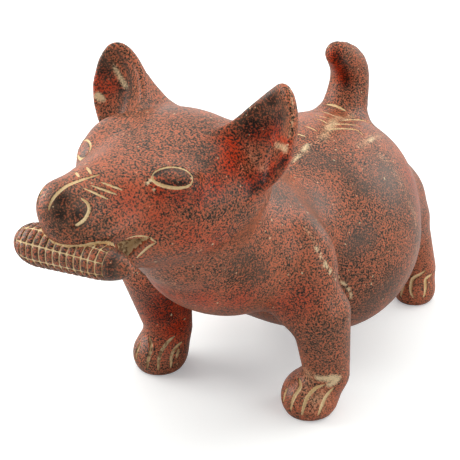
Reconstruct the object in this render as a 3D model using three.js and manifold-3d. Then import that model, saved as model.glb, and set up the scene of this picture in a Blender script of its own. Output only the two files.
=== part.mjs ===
// A pottery dog with an ear of maize in its jaws, standing on four short legs: one hollow-built,
// burnished figure, given here as one closed solid. Millimetres, +Z up, snout towards -Y, left side at +X.
import * as THREE from "three";
import Module from "manifold-3d";

// Driving dimensions
const height = 168;
const headTurn = 9;
const earThickness = 5.2;
const pawHeight = 19.5;
const mouthDepth = 3;
const mouthGape = 10;
const cobLength = 54.3;
const cobButtRadius = 9.2;
const cobTipRadius = 6.1;
const cobButtRounding = 13.3;
const cobTipRounding = 15.1;
const cobBareButt = 4.5;
const cobBareTip = 12.5;
const kernelRows = 8;
const kernelColumns = 12;
const kernelRelief = 0.6;
const kernelGroove = 0.8;
const incisionWidth = 1.7;
const markWidth = 1.5;

// Facets: how many the form has before it is carved and in all, and the lattice they start from
const formFacets = 9000;
const allFacets = 9700;
const latticeCell = 2.6;
const evenRounds = 2;
const incisionStep = 4.2;
const headDetail = 3;

// The free form is laid out on a figure 168 high and keeps its proportions at any height
const drawnHeight = 168;
const unit = height / drawnHeight;
const clay = new THREE.MeshStandardMaterial({ color: 0x7a3324, roughness: 0.42, metalness: 0 });

// Distance functions: negative inside, about a millimetre for each millimetre away

const clamp = (value, low, high) => Math.min(high, Math.max(low, value));
const span = (x, y, z) => Math.sqrt(x * x + y * y + z * z);

function join(a, b, softness) {
  const overlap = Math.max(softness - Math.abs(a - b), 0) / softness;
  return Math.min(a, b) - overlap * overlap * softness * 0.25;
}

const cross = (a, b, softness) => -join(-a, -b, softness);

// Whatever lies in the tool is cut away, but no deeper than the given depth under the skin
const engrave = (skin, tool, depth) => Math.max(skin, Math.min(-tool, skin + depth));

// Ellipsoid about a centre, its front end lifted by the pitch, a small slope
function ball(x, y, z, centre, radii, pitch = 0) {
  const px = (x - centre[0]) / radii[0];
  const py = (y - centre[1] - pitch * (z - centre[2])) / radii[1];
  const pz = (z - centre[2] + pitch * (y - centre[1])) / radii[2];
  const reach = span(px, py, pz);
  const slope = span(px / radii[0], py / radii[1], pz / radii[2]);
  return slope < 1e-9 ? -Math.min(radii[0], radii[1], radii[2]) : reach * (reach - 1) / slope;
}

// Rounded limb from one point to another, its radius changing evenly
function limb(x, y, z, from, to, fromRadius, toRadius) {
  const ax = to[0] - from[0];
  const ay = to[1] - from[1];
  const az = to[2] - from[2];
  const px = x - from[0];
  const py = y - from[1];
  const pz = z - from[2];
  const along = clamp((px * ax + py * ay + pz * az) / (ax * ax + ay * ay + az * az), 0, 1);
  const radius = fromRadius + (toRadius - fromRadius) * along;
  return span(px - ax * along, py - ay * along, pz - az * along) - radius;
}

// Head frame: the head is turned about an upright axis through the neck
const turnPivot = -17;
const turn = THREE.MathUtils.degToRad(headTurn);

function toHead(x, y) {
  const back = y - turnPivot;
  return [
    Math.cos(turn) * x - Math.sin(turn) * back,
    Math.sin(turn) * x + Math.cos(turn) * back + turnPivot,
  ];
}

function fromHead([x, y, z]) {
  const back = y - turnPivot;
  return [
    Math.cos(turn) * x + Math.sin(turn) * back,
    -Math.sin(turn) * x + Math.cos(turn) * back + turnPivot,
    z,
  ];
}

// Torso: the round belly, the chest, the rump and the shoulders and haunches on both sides
function torso(x, y, z) {
  const side = Math.abs(x);
  let skin = ball(x, y, z, [0, 71, 60.5], [57, 56, 50.5]);
  skin = join(skin, ball(side, y, z, [20, 71, 51.5], [35, 47, 37.6]), 8);
  skin = join(skin, ball(x, y, z, [0, 2, 79.6], [38, 44, 28.6]), 20);
  skin = join(skin, ball(x, y, z, [0, 102.5, 73], [35, 30, 28.7]), 22);
  skin = join(skin, ball(side, y, z, [33.5, 2, 71], [17, 15, 27]), 8);
  return join(skin, ball(side, y, z, [28.3, 118.5, 58.5], [16.3, 16.5, 21.5]), 7);
}

// Legs: each a tapering limb on a rounded paw that is later cut flat on the ground
const drawnPawHeight = 19.5;
const pawCentre = pawHeight / unit * 0.39;
const pawRise = pawHeight / unit * 0.64;
const frontPaws = { left: [37.3, 8.4, pawCentre], right: [-42.8, 6.6, pawCentre] };
const hindPaw = [37.6, 132.5, pawCentre * 0.76];

function legs(x, y, z, body) {
  const side = Math.abs(x);
  const frontLeg = x > 0
    ? limb(x, y, z, [43.3, 3.5, 54], [44.2, 10.5, 20], 13.3, 10.4)
    : limb(x, y, z, [-42, 3.5, 54], [-40.6, 11, 20], 17, 11.4);
  let skin = join(body, frontLeg, 6);
  const frontPaw = x > 0 ? frontPaws.left : frontPaws.right;
  skin = join(skin, ball(x, y, z, frontPaw, [13.3, 14.5, pawRise], -0.2), 6);
  skin = join(skin, limb(side, y, z, [33.5, 126, 47], [38, 134, 18], 11, 9.5), 9);
  return join(skin, ball(side, y, z, hindPaw, [11, 12, pawRise * 0.84], -0.15), 6);
}

// Tail: upright, thick at the root, its blunt tip leaning forwards; its middle line (back, up) and its radius
// follow one curve with four corners, taken in short round steps
const tailCurve = [[109.9, 96, 14.3], [121.3, 120, 7.2], [125.7, 126.3, 12.4], [103.6, 137.6, 6.1]];
const tailSteps = 10;

function curveAt(corners, share) {
  const rest = 1 - share;
  const weights = [rest ** 3, 3 * rest ** 2 * share, 3 * rest * share ** 2, share ** 3];
  const measure = (axis) => weights.reduce((sum, weight, at) => sum + weight * corners[at][axis], 0);
  return [0, 1, 2].map(measure);
}

const tailStations = Array.from({ length: tailSteps + 1 }, (_, step) => curveAt(tailCurve, step / tailSteps));

function tail(x, y, z) {
  let skin = Infinity;
  for (let step = 0; step < tailSteps; step++) {
    const near = tailStations[step];
    const far = tailStations[step + 1];
    skin = Math.min(skin, limb(x, y, z, [0, near[0], near[1]], [0, far[0], far[1]], near[2], far[2]));
  }
  return skin;
}

// Ear: a leaf bounded by two discs, hollowed to the front, on a root that rises from the skull; the right
// one's tip leans further out
const earMiddle = [37, 147];
const earRadii = [14, 22];
const earHollow = 7;
const earLean = 0.25;
const earInnerDisc = { x: 88.2, z: 98.3, radius: 82.9 };
const earOuterDisc = { x: 25.9, z: 147.6, radius: 26.3, moreOnLeft: 0.4 };
const earTip = { from: 138, over: 24, out: 0.95, up: 1.2, upMoreOnRight: 0.3 };

function ear(fromMiddle, y, fromGround, side) {
  const tip = clamp((fromGround - earTip.from) / earTip.over, 0, 1);
  const x = fromMiddle - earTip.out * (1 - side) * tip;
  const z = fromGround - (earTip.up - earTip.upMoreOnRight * side) * tip;
  const inner = span(x - earInnerDisc.x, z - earInnerDisc.z, 0) - earInnerDisc.radius;
  const outerRadius = earOuterDisc.radius + earOuterDisc.moreOnLeft * side;
  const outer = span(x - earOuterDisc.x, z - earOuterDisc.z, 0) - outerRadius;
  const across = (x - earMiddle[0]) / earRadii[0];
  const up = (z - earMiddle[1]) / earRadii[1];
  const bowl = Math.min(across * across + up * up, 1.6);
  const middle = -22.5 - earHollow * bowl + earLean * (z - earMiddle[1]);
  const cupping = bowl < 1.6 ? 2 * earHollow : 0;
  const slope = span(1, cupping * across / earRadii[0], cupping * up / earRadii[1] - earLean);
  const plate = Math.abs(y - middle) / slope - earThickness / unit / 2;
  return cross(cross(inner, outer, 6), plate, 3.5);
}

// Head: skull, face, cheeks, muzzle, lips, lower jaw, eyes, right brow and ears, with the mouth cut along
// its side and then filled with clay behind the cob
const skull = { middle: [0, -35, 123], radii: [40, 31, 26.2] };

function head(x, y, z) {
  const side = Math.abs(x);
  let skin = ball(x, y, z, skull.middle, skull.radii);
  skin = join(skin, ball(x, y, z, [0, -50, 123.5], [35, 27, 21]), 6);
  skin = join(skin, ball(x, y, z, [0, -48, 113], [33, 32, 19]), 10);
  skin = join(skin, ball(x, y, z, [0, -62, 126], [21, 28, 15], 0.1), 10);
  skin = join(skin, limb(x, y, z, [0, -78, 128.5], [-0.8, -97.2, 129.3], 13, 11), 8);
  skin = join(skin, ball(x, y, z, [0, -82, 121], [18.5, 23, 9]), 5);
  skin = join(skin, limb(x, y, z, [0, -60, 108], [0, -88, 106], 15, 8), 7);
  skin = join(skin, ball(x, y, z, [22, -61.9, 134.2], [9, 7.1, 5.9]), 6);
  skin = join(skin, ball(x, y, z, [-21, -60, 134.2], [7.5, 7.1, 5.9]), 6);
  skin = join(skin, ball(x, y, z, [-24, -47, 136], [9, 11, 8]), 8);
  skin = join(skin, limb(side, y, z, [22, -22, 134], [35, -19, 150], 10.5, 4), 8);
  skin = join(skin, ear(side, y, z, Math.sign(x)), 5);
  skin = engrave(skin, mouthCut(y, z), mouthDepth / unit);
  return join(skin, limb(x, y, z, [-8, -91, 111], [8, -91, 111], 8, 8), 2);
}

// Mouth: open forwards from its corner below the eye, its lower lip dropping steeply to the cob
const mouthCorner = [-75, 115];
const mouthClimb = 0.04;
const mouthDrop = 3;

function mouthCut(y, z) {
  const forward = mouthCorner[0] - y;
  const upper = z - mouthCorner[1] - forward * mouthClimb;
  const lower = mouthCorner[1] - Math.min(forward * mouthDrop, mouthGape / unit) - z;
  return Math.max(upper, lower, -forward);
}

// The whole dog without the cob, on the drawn figure; the head is left out well behind it and below it
function figure(x, y, z) {
  let skin = legs(x, y, z, torso(x, y, z));
  skin = join(skin, tail(x, y, z), 7);
  skin = join(skin, limb(x, y, z, [0, -4, 85], [0, -34, 102], 32, 28), 12);
  if (y > skull.middle[1] + 2 * skull.radii[1] || z < skull.middle[2] - 3 * skull.radii[2]) {
    return skin;
  }
  const [hx, hy] = toHead(x, y);
  return join(skin, head(hx, hy, z), 6);
}

// The same at its real size
const form = (point) => unit * figure(point[0] / unit, point[1] / unit, point[2] / unit);

// The way out of the form, from how its distance changes over a short step
function outward(point, here) {
  const step = 0.05;
  const [x, y, z] = point;
  return [form([x + step, y, z]), form([x, y + step, z]), form([x, y, z + step])]
    .map((there) => (there - here) / step);
}

// A point near the form, moved onto it
const closeEnough = 0.002;
const leastSteep = 0.2;
const longestPull = 2;

function settle(point, passes = 4) {
  let moved = point;
  for (let pass = 0; pass < passes; pass++) {
    const gap = form(moved);
    if (Math.abs(gap) < closeEnough) {
      return moved;
    }
    const away = outward(moved, gap);
    const steep = Math.max(away[0] ** 2 + away[1] ** 2 + away[2] ** 2, leastSteep);
    const pull = clamp(gap / steep, -longestPull, longestPull);
    moved = moved.map((value, axis) => value - away[axis] * pull);
  }
  return moved;
}

const between = (a, b, share = 0.5) => a.map((value, axis) => value + (b[axis] - value) * share);
const distance = (a, b) => span(a[0] - b[0], a[1] - b[1], a[2] - b[2]);
const dot = (a, b) => a[0] * b[0] + a[1] * b[1] + a[2] * b[2];

// A facet's normal, as long as twice its area
function spread(a, b, c) {
  const ux = b[0] - a[0];
  const uy = b[1] - a[1];
  const uz = b[2] - a[2];
  const vx = c[0] - a[0];
  const vy = c[1] - a[1];
  const vz = c[2] - a[2];
  return [uy * vz - uz * vy, uz * vx - ux * vz, ux * vy - uy * vx];
}

// First skin: the form is met in each cell of a lattice, cut into six tetrahedra round its diagonal
const tetrahedra = [[1, 3], [1, 5], [2, 3], [2, 6], [4, 5], [4, 6]].map(([a, b]) => [0, a, b, 7]);

function firstSkin(low, high) {
  const counts = low.map((start, axis) => Math.ceil((high[axis] - start) / latticeCell) + 1);
  const index = (i, j, k) => (k * counts[1] + j) * counts[0] + i;
  const place = (id) => {
    const i = id % counts[0];
    const j = Math.floor(id / counts[0]) % counts[1];
    const k = Math.floor(id / counts[0] / counts[1]);
    return [i, j, k].map((step, axis) => low[axis] + step * latticeCell);
  };
  const values = new Float64Array(counts[0] * counts[1] * counts[2]);
  values.forEach((_, id) => {
    values[id] = form(place(id));
  });
  const points = [];
  const faces = [];
  const met = new Map();
  const crossing = (inside, outside) => {
    const key = inside * values.length + outside;
    if (!met.has(key)) {
      const share = clamp(values[inside] / (values[inside] - values[outside]), 0.1, 0.9);
      met.set(key, points.push(between(place(inside), place(outside), share)) - 1);
    }
    return met.get(key);
  };
  const addFace = (a, b, c, inside, outside) => {
    const out = place(outside).map((value, axis) => value - place(inside)[axis]);
    const along = dot(spread(points[a], points[b], points[c]), out);
    faces.push(along > 0 ? [a, b, c] : [a, c, b]);
  };
  const meet = (corners) => {
    const inside = corners.filter((id) => values[id] < 0);
    const outside = corners.filter((id) => values[id] >= 0);
    if (inside.length === 1) {
      const [a, b, c] = outside.map((id) => crossing(inside[0], id));
      addFace(a, b, c, inside[0], outside[0]);
    } else if (inside.length === 3) {
      const [a, b, c] = inside.map((id) => crossing(id, outside[0]));
      addFace(a, b, c, inside[0], outside[0]);
    } else if (inside.length === 2) {
      const a = crossing(inside[0], outside[0]);
      const b = crossing(inside[0], outside[1]);
      const c = crossing(inside[1], outside[1]);
      const d = crossing(inside[1], outside[0]);
      addFace(a, b, c, inside[0], outside[0]);
      addFace(a, c, d, inside[0], outside[0]);
    }
  };
  for (let k = 0; k < counts[2] - 1; k++) {
    for (let j = 0; j < counts[1] - 1; j++) {
      for (let i = 0; i < counts[0] - 1; i++) {
        const corner = (bits) => index(i + (bits & 1), j + (bits >> 1 & 1), k + (bits >> 2 & 1));
        tetrahedra.forEach((tetrahedron) => meet(tetrahedron.map(corner)));
      }
    }
  }
  return { points, faces };
}

// Queue that always gives back its cheapest entry
class Queue {
  entries = [];

  push(entry) {
    let place = this.entries.push(entry) - 1;
    while (place > 0 && this.entries[(place - 1) >> 1].cost > entry.cost) {
      this.entries[place] = this.entries[(place - 1) >> 1];
      place = (place - 1) >> 1;
    }
    this.entries[place] = entry;
  }

  pop() {
    const cheapest = this.entries[0];
    const last = this.entries.pop();
    const count = this.entries.length;
    let place = 0;
    for (let child = 1; child < count; child = 2 * place + 1) {
      if (child + 1 < count && this.entries[child + 1].cost < this.entries[child].cost) {
        child++;
      }
      if (this.entries[child].cost >= last.cost) {
        break;
      }
      this.entries[place] = this.entries[child];
      place = child;
    }
    if (count > 0) {
      this.entries[place] = last;
    }
    return cheapest;
  }
}

// The planes of the facets that a point stands for, as one sum of squared distances; the head's weigh more
const inHead = (point) => point[1] < -25 * unit && point[2] > 90 * unit;
const noArea = 1e-9;

function planesOf(skin) {
  const planes = skin.points.map(() => new Array(10).fill(0));
  skin.faces.forEach((face) => {
    const corners = face.map((point) => skin.points[point]);
    const normal = spread(...corners);
    const area = span(...normal);
    if (area < noArea) {
      return;
    }
    const [a, b, c] = normal.map((value) => value / area);
    const d = -dot([a, b, c], corners[0]);
    const weight = area * (inHead(corners[0]) ? headDetail : 1);
    const terms = [a * a, a * b, a * c, b * b, b * c, c * c, a * d, b * d, c * d, d * d];
    face.forEach((point) => terms.forEach((term, id) => {
      planes[point][id] += weight * term;
    }));
  });
  return planes;
}

// Where two points come together with the least harm, and how much that is; the soles stay on the ground
const staying = 1e-3;
const onGround = 1e-4;
const shortFirst = 1e-6;

function meeting(skin, planes, one, other) {
  const sum = planes[one].map((term, id) => term + planes[other][id]);
  const ends = [skin.points[one], skin.points[other]];
  const grounded = ends.filter((end) => end[2] < onGround);
  const middle = between(...ends);
  let place = middle;
  if (grounded.length === 1) {
    place = grounded[0];
  } else if (grounded.length === 0) {
    const hold = staying * (sum[0] + sum[3] + sum[5]) + Number.EPSILON;
    const xx = sum[0] + hold;
    const xy = sum[1];
    const xz = sum[2];
    const yy = sum[3] + hold;
    const yz = sum[4];
    const zz = sum[5] + hold;
    const rx = hold * middle[0] - sum[6];
    const ry = hold * middle[1] - sum[7];
    const rz = hold * middle[2] - sum[8];
    const cxx = yy * zz - yz * yz;
    const cxy = xz * yz - xy * zz;
    const cxz = xy * yz - xz * yy;
    const cyy = xx * zz - xz * xz;
    const cyz = xy * xz - xx * yz;
    const czz = xx * yy - xy * xy;
    const whole = xx * cxx + xy * cxy + xz * cxz;
    place = [
      (cxx * rx + cxy * ry + cxz * rz) / whole,
      (cxy * rx + cyy * ry + cyz * rz) / whole,
      (cxz * rx + cyz * ry + czz * rz) / whole,
    ];
  }
  const [x, y, z] = place;
  const square = sum[0] * x * x + sum[3] * y * y + sum[5] * z * z + sum[9];
  const mixed = sum[1] * x * y + sum[2] * x * z + sum[4] * y * z + sum[6] * x + sum[7] * y + sum[8] * z;
  const length = distance(...ends);
  return { place, cost: Math.abs(square + 2 * mixed) + shortFirst * length * length };
}

// Facets are thinned out: the side whose ends can come together with the least harm goes first
const thinnest = 0.02;
const mostTurn = 0.3;

function thinOut(skin, count) {
  const planes = planesOf(skin);
  const around = skin.points.map(() => []);
  skin.faces.forEach((face, id) => face.forEach((point) => around[point].push(id)));
  const ages = new Uint32Array(skin.points.length);
  const gone = new Uint8Array(skin.points.length);
  const queue = new Queue();
  const add = (a, b) => queue.push({ a, b, age: ages[a] + ages[b], ...meeting(skin, planes, a, b) });
  const ringOf = (point) => around[point].map((id) => {
    const face = skin.faces[id];
    return face[(face.indexOf(point) + 1) % 3];
  });
  const folds = (point, leaving, place) => around[point].some((id) => {
    const face = skin.faces[id];
    if (face.includes(leaving)) {
      return false;
    }
    const turned = face.indexOf(point);
    const second = skin.points[face[(turned + 1) % 3]];
    const third = skin.points[face[(turned + 2) % 3]];
    const before = spread(skin.points[point], second, third);
    const after = spread(place, second, third);
    const reach = Math.max(distance(place, second), distance(place, third), distance(second, third));
    const sizeBefore = span(before[0], before[1], before[2]);
    const sizeAfter = span(after[0], after[1], after[2]);
    const flat = sizeAfter < thinnest * reach * reach && sizeAfter < sizeBefore;
    return flat || dot(before, after) < mostTurn * sizeBefore * sizeAfter;
  });
  skin.faces.forEach((face) => face.forEach((a, corner) => {
    const b = face[(corner + 1) % 3];
    if (a < b) {
      add(a, b);
    }
  }));
  let left = skin.faces.length;
  while (left > count && queue.entries.length > 0) {
    const { a, b, age, place } = queue.pop();
    if (gone[a] || gone[b] || age !== ages[a] + ages[b]) {
      continue;
    }
    const ring = ringOf(b);
    const shared = ringOf(a).filter((point) => ring.includes(point));
    if (shared.length !== 2 || folds(a, b, place) || folds(b, a, place)) {
      continue;
    }
    skin.points[a] = place;
    planes[a] = planes[a].map((term, id) => term + planes[b][id]);
    gone[b] = 1;
    ages[a]++;
    around[b].forEach((id) => {
      const face = skin.faces[id];
      if (face.includes(a)) {
        skin.faces[id] = null;
        left--;
        face.forEach((point) => {
          around[point] = point === b ? around[point] : around[point].filter((other) => other !== id);
        });
      } else {
        skin.faces[id] = face.map((point) => (point === b ? a : point));
        around[a].push(id);
      }
    });
    ringOf(a).forEach((point) => add(a, point));
  }
  return compact(skin);
}

// Facets and points that are gone are dropped
function compact(skin) {
  const faces = skin.faces.filter((face) => face);
  const order = new Map();
  faces.forEach((face) => face.forEach((point) => order.has(point) || order.set(point, order.size)));
  const points = new Array(order.size);
  order.forEach((place, point) => {
    points[place] = skin.points[point];
  });
  return { points, faces: faces.map((face) => face.map((point) => order.get(point))) };
}

// Every point moves toward the middle of its neighbours and back onto the form
function even(skin) {
  const sums = skin.points.map(() => [0, 0, 0, 0]);
  skin.faces.forEach((face) => face.forEach((point, corner) => {
    const next = skin.points[face[(corner + 1) % 3]];
    const sum = sums[point];
    sum[0] += next[0];
    sum[1] += next[1];
    sum[2] += next[2];
    sum[3]++;
  }));
  const middles = sums.map((sum) => [sum[0] / sum[3], sum[1] / sum[3], sum[2] / sum[3]]);
  return middles.map((middle) => settle(middle, 1));
}

// The form as facets, fine where it bends sharply and broad where it is calm
const formLow = [-66, -122, -9];
const formHigh = [66, 156, 176];

function skinOfForm() {
  const skin = firstSkin(formLow.map((value) => value * unit), formHigh.map((value) => value * unit));
  skin.points = skin.points.map((point) => settle(point));
  for (let round = 0; round < evenRounds; round++) {
    skin.points = even(skin);
  }
  return thinOut(skin, formFacets);
}

// Solids that can be joined and cut
const wasm = await Module();
wasm.setup();

function solid(points, faces) {
  return new wasm.Manifold(new wasm.Mesh({
    numProp: 3,
    vertProperties: Float32Array.from(points.flat()),
    triVerts: Uint32Array.from(faces.flat()),
  }));
}

function solidOf(geometry) {
  const found = new Map();
  const position = geometry.getAttribute("position");
  const points = [];
  const corners = [];
  for (let id = 0; id < position.count; id++) {
    const point = [position.getX(id), position.getY(id), position.getZ(id)];
    const key = point.map((value) => value.toFixed(4)).join();
    if (!found.has(key)) {
      found.set(key, points.push(point) - 1);
    }
    corners.push(found.get(key));
  }
  const order = geometry.index ? [...geometry.index.array].map((id) => corners[id]) : corners;
  const faces = [];
  for (let id = 0; id < order.length; id += 3) {
    const face = [order[id], order[id + 1], order[id + 2]];
    if (new Set(face).size === 3) {
      faces.push(face);
    }
  }
  return solid(points, faces);
}

// A place given along the head, in real millimetres, brought onto the turned head
const ontoFigure = (place) => fromHead(place.map((value) => value / unit)).map((value) => value * unit);

// Cob: it lies across the jaws, thick at its right end, and both its ends are smooth and rounded
const cobMiddle = [2.1, -97.5, 111.4];
const cobSlant = [0.993, 0.121, 0.019];
const kernelTurn = Math.PI / 9;
const domeRings = 3;

function cob() {
  const axis = new THREE.Vector3(...cobSlant).normalize();
  const up = new THREE.Vector3(0, 0, 1).cross(axis).normalize();
  const side = axis.clone().cross(up);
  const middle = new THREE.Vector3(...cobMiddle).multiplyScalar(unit);
  const points = [];
  const faces = [];
  const radiusAt = (along) => {
    const straight = cobButtRadius + (cobTipRadius - cobButtRadius) * along / cobLength;
    const cap = along < cobLength / 2 ? cobButtRounding : cobTipRounding;
    const end = Math.min(along, cobLength - along, cap) / cap;
    return straight * Math.sqrt(Math.max(1 - (1 - end) ** 2, 0));
  };
  const halfRow = Math.PI / kernelRows;
  const addPoint = (along, turn, drop) => {
    const radius = radiusAt(along) - drop;
    const angle = turn + kernelTurn;
    const point = middle.clone().addScaledVector(axis, along - cobLength / 2)
      .addScaledVector(up, radius * Math.cos(angle)).addScaledVector(side, radius * Math.sin(angle));
    return points.push(ontoFigure(point.toArray())) - 1;
  };
  const addRing = (along, drop) => {
    const ring = [];
    for (let half = 0; half < 2 * kernelRows; half++) {
      ring.push(addPoint(along, half * halfRow, drop));
    }
    return ring;
  };
  const quad = (a, b, c, d) => faces.push([a, c, b], [a, d, c]);
  const joinRings = (near, far) => near.forEach((point, half) => {
    const next = (half + 1) % near.length;
    quad(point, far[half], far[next], near[next]);
  });
  const pitch = (cobLength - cobBareButt - cobBareTip) / kernelColumns;
  const rings = [];
  for (let column = 0; column <= kernelColumns; column++) {
    rings.push(addRing(cobBareButt + column * pitch, kernelRelief));
  }
  for (let column = 0; column < kernelColumns; column++) {
    const near = cobBareButt + column * pitch + kernelGroove / 2;
    const far = near + pitch - kernelGroove;
    const lean = kernelGroove / 2 / cobButtRadius;
    for (let row = 0; row < kernelRows; row++) {
      const across = [0, 1, 2].map((half) => (2 * row + half) * halfRow + (1 - half) * lean);
      const pad = [near, far].map((along) => across.map((angle) => addPoint(along, angle, 0)));
      const groove = [0, 1].map((end) => [0, 1, 2].map((half) => {
        return rings[column + end][(2 * row + half) % (2 * kernelRows)];
      }));
      for (let half = 0; half < 2; half++) {
        quad(pad[0][half], pad[1][half], pad[1][half + 1], pad[0][half + 1]);
        quad(groove[0][half], pad[0][half], pad[0][half + 1], groove[0][half + 1]);
        quad(pad[1][half], groove[1][half], groove[1][half + 1], pad[1][half + 1]);
      }
      quad(groove[0][0], groove[1][0], pad[1][0], pad[0][0]);
      quad(pad[0][2], pad[1][2], groove[1][2], groove[0][2]);
    }
  }
  const dome = (edge, bare, at) => {
    let last = edge;
    for (let ring = 1; ring <= domeRings; ring++) {
      const share = 1 - Math.sin(ring / (domeRings + 1) * Math.PI / 2);
      const next = addRing(at(bare * share), 0);
      joinRings(...(at(1) > at(0) ? [next, last] : [last, next]));
      last = next;
    }
    const tip = addPoint(at(0), 0, 0);
    last.forEach((point, half) => {
      const next = last[(half + 1) % last.length];
      faces.push(at(1) > at(0) ? [tip, next, point] : [tip, point, next]);
    });
  };
  dome(rings[0], cobBareButt, (along) => along);
  dome(rings[kernelColumns], cobBareTip, (along) => cobLength - along);
  return solid(points, faces);
}

// Incised line: a four-sided blade drawn along the skin through the points, half of it in the clay
const bladeShare = 0.62;

function incision(places, width) {
  const points = places.map((place) => new THREE.Vector3(...settle(place.map((value) => value * unit))));
  const curve = new THREE.CatmullRomCurve3(points);
  const steps = Math.max(2, Math.ceil(curve.getLength() / incisionStep));
  const settled = curve.getSpacedPoints(steps).map((point) => new THREE.Vector3(...settle(point.toArray())));
  const blade = new THREE.Shape();
  const reach = width * bladeShare;
  blade.moveTo(reach, 0);
  blade.lineTo(0, reach);
  blade.lineTo(-reach, 0);
  blade.lineTo(0, -reach);
  const path = new THREE.CatmullRomCurve3(settled);
  return solidOf(new THREE.ExtrudeGeometry(blade, { steps, bevelEnabled: false, extrudePath: path }));
}

const mirrored = (places) => places.map(([x, y, z]) => [-x, y, z]);
const headLine = (places) => incision(places.map(fromHead), incisionWidth);

// Eyes: each an almond of two lines, the lower one running on past the outer corner
function eyeLines() {
  const middle = new THREE.Vector3(23.5, -66.5, 137);
  const along = new THREE.Vector3(0.816, 0.565, -0.125).multiplyScalar(7.4);
  const up = new THREE.Vector3(-0.485, 0.718, 0.495).multiplyScalar(4.1);
  const lid = (from, to, count) => {
    const places = [];
    for (let step = 0; step <= count; step++) {
      const angle = THREE.MathUtils.degToRad(from + (to - from) * step / count);
      const out = middle.clone().addScaledVector(along, Math.cos(angle));
      places.push(out.addScaledVector(up, Math.sin(angle)).toArray());
    }
    return places;
  };
  const upper = lid(175, 5, 6);
  const lower = lid(170, 362, 7);
  return [upper, lower, mirrored(upper), mirrored(lower)].map(headLine);
}

// Nose: a line along each side of its bridge, and a hooked line round each nostril
function noseLines() {
  const bridge = [[1.2, -107, 132], [2.1, -103, 138], [3, -96.5, 140], [5.5, -85.5, 140.5]];
  const nostril = [[8.4, -97.7, 135.7], [10.5, -96, 131.5], [10.6, -99.4, 128], [8.6, -103, 126]];
  const otherSide = (places) => places.map(([x, y, z]) => [-5 - x, y, z]);
  return [bridge, nostril, otherSide(bridge), otherSide(nostril)].map(headLine);
}

// Toes: clefts that run forwards and down each paw, given from the paw's middle and outwards
const leftClefts = [
  [[-8.6, -8, 15], [-10.2, -9.8, 11.2], [-10.1, -11.6, 4.8]],
  [[-4.6, -7.2, 19], [-2.8, -11.9, 14.7], [-5.5, -13.7, 5.4]],
  [[8.1, -7.7, 20.2], [2.8, -11.8, 15], [0.6, -14.6, 4.4]],
  [[12.1, -4.6, 17.1], [9.2, -9.9, 12.8], [7.4, -12.4, 5.2]],
];
const rightClefts = [
  [[4.8, -9.6, 16.2], [5.6, -11.6, 10], [6.5, -13, 3.6]],
  [[1.5, -8.4, 19.1], [-1.6, -10.7, 16.2], [-2, -14.1, 12], [-0.7, -14.9, 5.4]],
  [[-9.5, -2.6, 19.1], [-7, -7.2, 17.1], [-6.6, -11.6, 13.2], [-6.3, -13.1, 5]],
  [[-11.9, 0.1, 15.9], [-11, -5, 14.9], [-11.2, -8.2, 11.7], [-10.9, -8.9, 5.9]],
];
const hindClefts = [
  [[-8.3, -5.4, 13], [-8.2, -7.8, 9], [-7.6, -9.2, 4]],
  [[-4.2, -6.8, 16], [-3, -10.4, 11], [-3.4, -11.6, 4.5]],
  [[6.4, -4.8, 20.3], [1.6, -8, 15], [2.1, -11.6, 9.8], [4.2, -12, 5.8]],
  [[9, -0.8, 16.9], [7.3, -4.5, 15.1], [8.9, -6.2, 10.3], [8.9, -8.2, 5.6]],
];

function toeLines() {
  const onPaw = (clefts, [x, y], side) => clefts.map((cleft) => cleft.map(([out, back, up]) => {
    return [x + out * side, y + back, up * pawHeight / unit / drawnPawHeight];
  }));
  const paws = [
    ...onPaw(leftClefts, frontPaws.left, 1),
    ...onPaw(rightClefts, frontPaws.right, -1),
    ...onPaw(hindClefts, hindPaw, 1),
    ...onPaw(hindClefts, [-hindPaw[0], hindPaw[1]], -1),
  ];
  return paws.map((places) => incision(places, incisionWidth));
}

// Back: two facing rows of curved strokes beside the spine, before the tail
function backMarks() {
  const marks = [];
  const strokes = 5;
  for (let stroke = 0; stroke < strokes; stroke++) {
    const y = 66 + stroke * 9.5;
    marks.push([[-7, y + 3, 111], [1, y, 112], [8, y - 1, 111]]);
  }
  for (let stroke = 0; stroke < 3; stroke++) {
    const y = 74 + stroke * 8;
    marks.push([[10, y - 2, 110], [15, y + 7, 109], [22, y + 12, 105]]);
  }
  return marks.map((places) => incision(places, markWidth));
}

// Ground: everything below the soles is cut away, which leaves each paw a flat tread
function ground() {
  const depth = 20 * unit;
  const slab = new THREE.BoxGeometry(2 * height, 3 * height, depth);
  slab.translate(0, 0, -depth / 2);
  return solidOf(slab);
}

function dogSolid() {
  const skin = skinOfForm();
  let body = solid(skin.points, skin.faces);
  [...eyeLines(), ...noseLines(), ...toeLines(), ...backMarks()].forEach((line) => {
    body = body.subtract(line);
  });
  const whole = body.add(cob()).subtract(ground());
  const largest = whole.decompose().reduce((most, piece) => (piece.volume() > most.volume() ? piece : most));
  const { vertProperties, triVerts } = largest.getMesh();
  const points = [];
  const faces = [];
  for (let id = 0; id < vertProperties.length; id += 3) {
    points.push([...vertProperties.slice(id, id + 3)]);
  }
  for (let id = 0; id < triVerts.length; id += 3) {
    faces.push([...triVerts.slice(id, id + 3)]);
  }
  return thinOut({ points, faces }, allFacets);
}

function dog() {
  const skin = dogSolid();
  const geometry = new THREE.BufferGeometry();
  geometry.setAttribute("position", new THREE.Float32BufferAttribute(skin.points.flat(), 3));
  geometry.setIndex(skin.faces.flat());
  geometry.computeVertexNormals();
  geometry.computeBoundingBox();
  const mesh = new THREE.Mesh(geometry, clay);
  mesh.name = "dog";
  const middle = geometry.boundingBox.getCenter(new THREE.Vector3());
  mesh.position.set(-middle.x, -middle.y, 0);
  return mesh;
}

const group = new THREE.Group();
group.add(dog());

export default group;
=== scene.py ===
import math

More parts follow.
